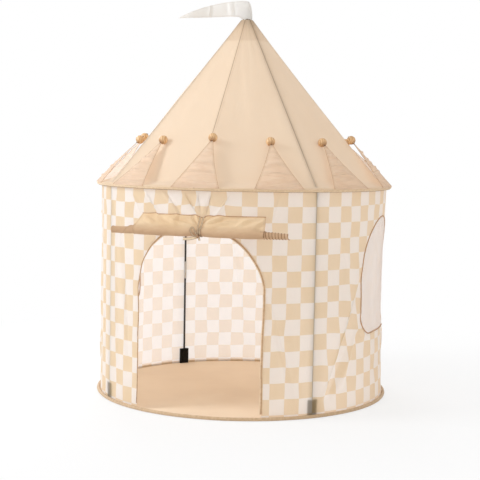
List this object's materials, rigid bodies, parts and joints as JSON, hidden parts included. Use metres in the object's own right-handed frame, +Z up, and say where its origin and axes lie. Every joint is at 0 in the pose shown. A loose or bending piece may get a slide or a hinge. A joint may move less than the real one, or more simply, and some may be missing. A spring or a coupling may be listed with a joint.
{
  "type": "play tent",
  "caption": "Round castle play tent with check walls, arched doorway, mesh windows, pointed roof on a pole frame, a crown of flaps with wooden balls and a pennant",
  "frame": {"origin": "middle of the floor sheet's underside, on the ground", "axes": "+Z up, the doorway faces -Y, the windows face +X and -X"},
  "size_m": [1.1122, 1.1409, 1.4685],
  "materials": {
    "check_cloth": "matte woven, cream and tan squares",
    "roof_cloth": "matte woven",
    "flap_cloth": "matte woven, slightly creased",
    "floor_cloth": "matte coated weave",
    "hem_binding": "matte bias binding",
    "curtain_cloth": "matte woven, rolled",
    "tie_ribbon": "matte tape",
    "window_mesh": "fine open mesh",
    "pennant_cloth": "soft matte",
    "pocket_cloth": "coarse webbing",
    "pole_rod": "black glass-fibre rod with a bright ferrule",
    "hoop_rod": "glass-fibre rod",
    "joint_plastic": "moulded",
    "ball_wood": "sanded, thin varnish"
  },
  "bodies": {
    "tent": {"floor_sheet": "floor_cloth", "base_hem": "hem_binding", "base_hoop": "hoop_rod", "wall_front": "check_cloth", "wall_right": "check_cloth", "wall_back": "check_cloth", "wall_left": "check_cloth", "window_right": "window_mesh", "window_left": "window_mesh", "eaves_hem": "hem_binding", "eaves_hoop": "hoop_rod", "roof_canopy": "roof_cloth", "top_hub": "joint_plastic", "pole_pocket_1": "pocket_cloth", "wall_pole_lower_1": "pole_rod", "wall_pole_upper_1": "pole_rod", "eaves_elbow_1": "joint_plastic", "roof_pole_1": "pole_rod", "pole_pocket_2": "pocket_cloth", "wall_pole_lower_2": "pole_rod", "wall_pole_upper_2": "pole_rod", "eaves_elbow_2": "joint_plastic", "roof_pole_2": "pole_rod", "pole_pocket_3": "pocket_cloth", "wall_pole_lower_3": "pole_rod", "wall_pole_upper_3": "pole_rod", "eaves_elbow_3": "joint_plastic", "roof_pole_3": "pole_rod", "pole_pocket_4": "pocket_cloth", "wall_pole_lower_4": "pole_rod", "wall_pole_upper_4": "pole_rod", "eaves_elbow_4": "joint_plastic", "roof_pole_4": "pole_rod"},
    "door_roll": {"door_curtain": "curtain_cloth", "door_tie": "tie_ribbon"},
    "pennant": {"pennant": "pennant_cloth"},
    "crown_point_01": {"crown_flap_01": "flap_cloth", "crown_ball_01": "ball_wood"},
    "crown_point_02": {"crown_flap_02": "flap_cloth", "crown_ball_02": "ball_wood"},
    "crown_point_03": {"crown_flap_03": "flap_cloth", "crown_ball_03": "ball_wood"},
    "crown_point_04": {"crown_flap_04": "flap_cloth", "crown_ball_04": "ball_wood"},
    "crown_point_05": {"crown_flap_05": "flap_cloth", "crown_ball_05": "ball_wood"},
    "crown_point_06": {"crown_flap_06": "flap_cloth", "crown_ball_06": "ball_wood"},
    "crown_point_07": {"crown_flap_07": "flap_cloth", "crown_ball_07": "ball_wood"},
    "crown_point_08": {"crown_flap_08": "flap_cloth", "crown_ball_08": "ball_wood"},
    "crown_point_09": {"crown_flap_09": "flap_cloth", "crown_ball_09": "ball_wood"},
    "crown_point_10": {"crown_flap_10": "flap_cloth", "crown_ball_10": "ball_wood"},
    "crown_point_11": {"crown_flap_11": "flap_cloth", "crown_ball_11": "ball_wood"},
    "crown_point_12": {"crown_flap_12": "flap_cloth", "crown_ball_12": "ball_wood"}
  },
  "joints": [
    {"name": "door_roll_swing", "type": "hinge", "parent": "tent", "child": "door_roll", "pos_m": [0, -0.53424, 0.693], "axis": [-1, 0, 0], "range_deg": [0, 75]},
    {"name": "pennant_turn", "type": "hinge", "parent": "tent", "child": "pennant", "pos_m": [0, 0, 1.4015], "axis": [0, 0, 1], "continuous": true},
    {"name": "crown_hinge_01", "type": "hinge", "parent": "tent", "child": "crown_point_01", "pos_m": [0, -0.55555, 0.7872], "axis": [1, 0, 0], "range_deg": [0, 150]},
    {"name": "crown_hinge_02", "type": "hinge", "parent": "tent", "child": "crown_point_02", "pos_m": [0.27777, -0.48112, 0.7872], "axis": [0.866, 0.5, 0], "range_deg": [0, 150]},
    {"name": "crown_hinge_03", "type": "hinge", "parent": "tent", "child": "crown_point_03", "pos_m": [0.48112, -0.27777, 0.7872], "axis": [0.5, 0.866, 0], "range_deg": [0, 215]},
    {"name": "crown_hinge_04", "type": "hinge", "parent": "tent", "child": "crown_point_04", "pos_m": [0.55555, 0, 0.7872], "axis": [0, 1, 0], "range_deg": [0, 215]},
    {"name": "crown_hinge_05", "type": "hinge", "parent": "tent", "child": "crown_point_05", "pos_m": [0.48112, 0.27777, 0.7872], "axis": [-0.5, 0.866, 0], "range_deg": [0, 215]},
    {"name": "crown_hinge_06", "type": "hinge", "parent": "tent", "child": "crown_point_06", "pos_m": [0.27777, 0.48112, 0.7872], "axis": [-0.866, 0.5, 0], "range_deg": [0, 215]},
    {"name": "crown_hinge_07", "type": "hinge", "parent": "tent", "child": "crown_point_07", "pos_m": [0, 0.55555, 0.7872], "axis": [-1, 0, 0], "range_deg": [0, 215]},
    {"name": "crown_hinge_08", "type": "hinge", "parent": "tent", "child": "crown_point_08", "pos_m": [-0.27777, 0.48112, 0.7872], "axis": [-0.866, -0.5, 0], "range_deg": [0, 215]},
    {"name": "crown_hinge_09", "type": "hinge", "parent": "tent", "child": "crown_point_09", "pos_m": [-0.48112, 0.27777, 0.7872], "axis": [-0.5, -0.866, 0], "range_deg": [0, 215]},
    {"name": "crown_hinge_10", "type": "hinge", "parent": "tent", "child": "crown_point_10", "pos_m": [-0.55555, 0, 0.7872], "axis": [0, -1, 0], "range_deg": [0, 215]},
    {"name": "crown_hinge_11", "type": "hinge", "parent": "tent", "child": "crown_point_11", "pos_m": [-0.48112, -0.27777, 0.7872], "axis": [0.5, -0.866, 0], "range_deg": [0, 215]},
    {"name": "crown_hinge_12", "type": "hinge", "parent": "tent", "child": "crown_point_12", "pos_m": [-0.27777, -0.48112, 0.7872], "axis": [0.866, -0.5, 0], "range_deg": [0, 150]}
  ]
}
